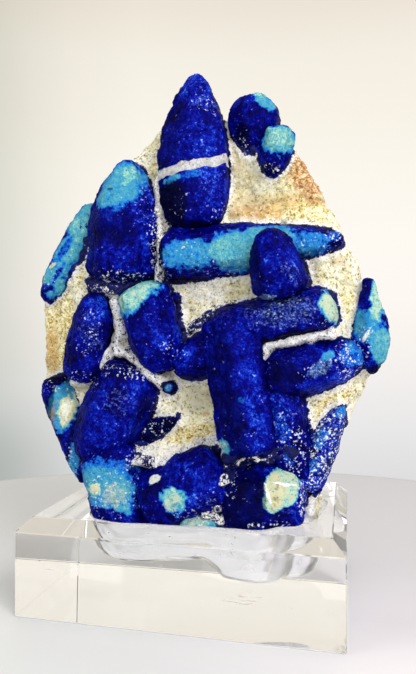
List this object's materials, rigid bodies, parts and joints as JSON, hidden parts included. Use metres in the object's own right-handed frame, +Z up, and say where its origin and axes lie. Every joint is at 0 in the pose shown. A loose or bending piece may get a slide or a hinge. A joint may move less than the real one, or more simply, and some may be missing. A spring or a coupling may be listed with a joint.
{
  "type": "afghanite specimen on an acrylic base",
  "caption": "Blue six-sided afghanite crystals in a white marble slab that stands in the carved trough of a clear bevelled acrylic block.",
  "frame": {"origin": "centre of the block's flat underside", "axes": "+X along the block's long side, -Y to the side that shows the crystals, +Z up along the tall top crystal"},
  "size_m": [0.117, 0.075, 0.1721],
  "materials": {
    "clear_acrylic": "polished",
    "white_marble": "matte",
    "blue_afghanite": "satin",
    "turquoise_afghanite": "satin",
    "pale_afghanite": "satin"
  },
  "bodies": {
    "root": {"acrylic_base": "clear_acrylic", "marble_matrix": "white_marble", "top_crystal_tip": "blue_afghanite", "top_crystal_root": "blue_afghanite", "cross_crystal": "turquoise_afghanite", "leaning_crystal": "blue_afghanite", "upper_left_crystal": "blue_afghanite", "left_edge_crystal": "pale_afghanite", "left_barrel_crystal": "blue_afghanite", "mint_cap_crystal": "blue_afghanite", "central_cluster": "blue_afghanite", "right_pair": "blue_afghanite", "lower_right_crystal": "blue_afghanite", "lower_left_pair": "blue_afghanite", "lower_centre_crystal": "blue_afghanite", "eye_crystal": "blue_afghanite", "foot_crystal": "turquoise_afghanite", "spindle_crystal": "blue_afghanite", "bead_crystal": "turquoise_afghanite", "knob_crystal": "blue_afghanite", "top_right_pair": "blue_afghanite"}
  },
  "joints": []
}
